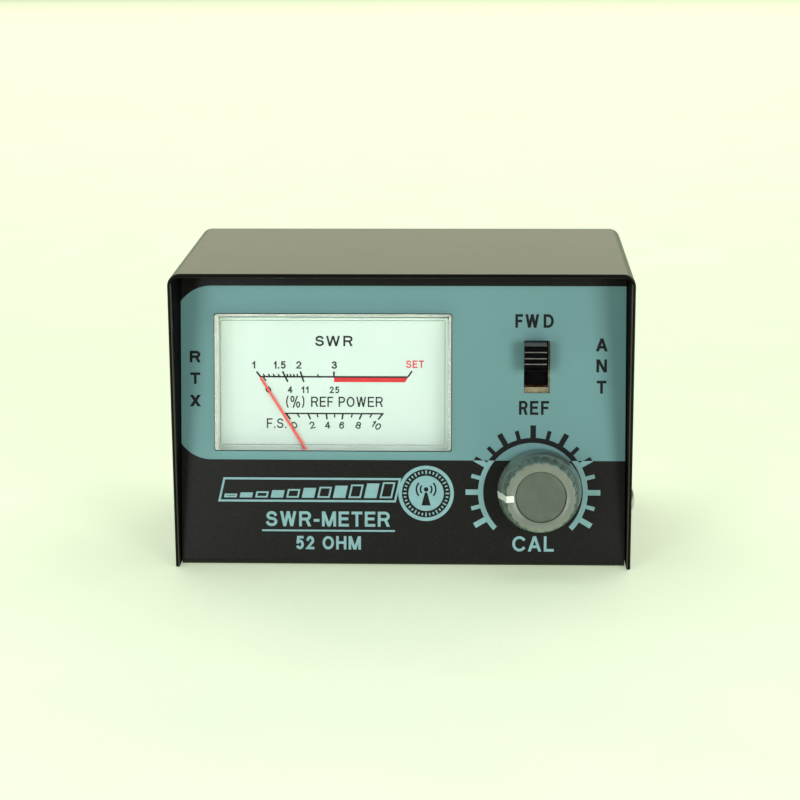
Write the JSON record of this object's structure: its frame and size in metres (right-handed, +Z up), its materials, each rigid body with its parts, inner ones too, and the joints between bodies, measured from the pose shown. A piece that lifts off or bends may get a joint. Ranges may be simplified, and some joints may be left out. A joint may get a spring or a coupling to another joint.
{
  "type": "swr meter",
  "caption": "Compact SWR meter with a hooded, leaning front panel, a moving-needle dial, a calibration knob, a slide switch and rear coaxial sockets.",
  "frame": {"origin": "centre of the chassis's underside, on the surface that the meter stands on, below the middle of the cover", "axes": "+X to the viewer's right along the front panel, +Y towards the sockets at the back, +Z up"},
  "size_m": [0.1116, 0.0875, 0.071],
  "materials": {
    "black_paint": "satin black stoved paint",
    "panel_paint": "blue-green paint, printed black below",
    "screw_steel": "nickel-plated steel",
    "bare_steel": "bright zinc-plated sheet",
    "clear_plastic": "clear moulded polystyrene",
    "black_moulding": "black moulded plastic",
    "dial_white": "printed off-white dial",
    "needle_red": "red lacquer",
    "magnet": "ground alloy magnet",
    "brass": "turned brass",
    "copper": "enamelled copper",
    "knob_plastic": "dark slate phenolic",
    "knob_metal": "spun aluminium",
    "pointer_white": "white filling",
    "phenolic": "paper phenolic sheet",
    "carbon": "carbon resistance film",
    "zinc_yellow": "yellow-passivated steel",
    "socket_nickel": "nickel-plated brass",
    "socket_insulator": "white insulator",
    "socket_contact": "silver-plated contact",
    "diode_glass": "amber glass diode",
    "resistor_body": "lacquered resistor",
    "capacitor_body": "dipped ceramic disc",
    "wire_insulation": "PVC-covered wire"
  },
  "bodies": {
    "case": {"cover": "black_paint", "chassis": "panel_paint", "cover_screws": "screw_steel", "panel_studs": "screw_steel", "meter_lens": "clear_plastic", "meter_housing": "black_moulding", "meter_dial": "dial_white", "meter_strap": "bare_steel", "strap_nuts": "screw_steel", "meter_yoke": "bare_steel", "meter_magnet": "magnet", "core_holder": "brass", "yoke_screws": "screw_steel", "front_bridge": "brass", "rear_bridge": "brass", "jewel_screws": "brass", "meter_terminals": "brass", "meter_terminal_nuts": "screw_steel", "pot_bushing": "brass", "pot_washer": "screw_steel", "pot_nut": "screw_steel", "pot_wafer": "phenolic", "pot_track": "carbon", "pot_lugs": "bare_steel", "pot_can": "bare_steel", "switch_frame": "zinc_yellow", "switch_base": "phenolic", "switch_terminals": "bare_steel", "switch_nuts": "screw_steel", "rtx_socket_shell": "socket_nickel", "rtx_insulator": "socket_insulator", "rtx_contact": "socket_contact", "ant_socket_shell": "socket_nickel", "ant_insulator": "socket_insulator", "ant_contact": "socket_contact", "socket_screws": "screw_steel", "socket_nuts": "screw_steel", "ground_lugs": "zinc_yellow", "coupler_board": "phenolic", "coupler_lines": "copper", "coupler_diodes": "diode_glass", "coupler_resistors": "resistor_body", "coupler_capacitors": "capacitor_body", "hookup_wires": "wire_insulation"},
    "needle": {"meter_needle": "needle_red", "needle_balance": "brass", "meter_coil": "copper", "meter_pivots": "bare_steel", "front_hairspring": "brass", "rear_hairspring": "brass"},
    "knob": {"cal_knob": "knob_plastic", "knob_cap": "knob_metal", "knob_pointer": "pointer_white", "pot_shaft": "bare_steel", "pot_wiper": "brass"},
    "slider": {"switch_slider": "black_moulding", "switch_contacts": "brass"}
  },
  "joints": [
    {"name": "cal_turn", "type": "hinge", "parent": "case", "child": "knob", "pos_m": [0.0325, -0.02696, 0.01802], "axis": [0, -0.9845, 0.1754], "range_deg": [-244, 56]},
    {"name": "fwd_ref_slide", "type": "slide", "parent": "case", "child": "slider", "axis": [0, -0.1754, -0.9845], "range_m": [0, 0.0037]},
    {"name": "needle_swing", "type": "hinge", "parent": "case", "child": "needle", "pos_m": [-0.0166, -0.02703, 0.01762], "axis": [0, 0.9845, -0.1754], "range_deg": [0, 64.4], "stiffness_Nm_per_rad": 0.00002, "springref_deg": -11.46}
  ]
}
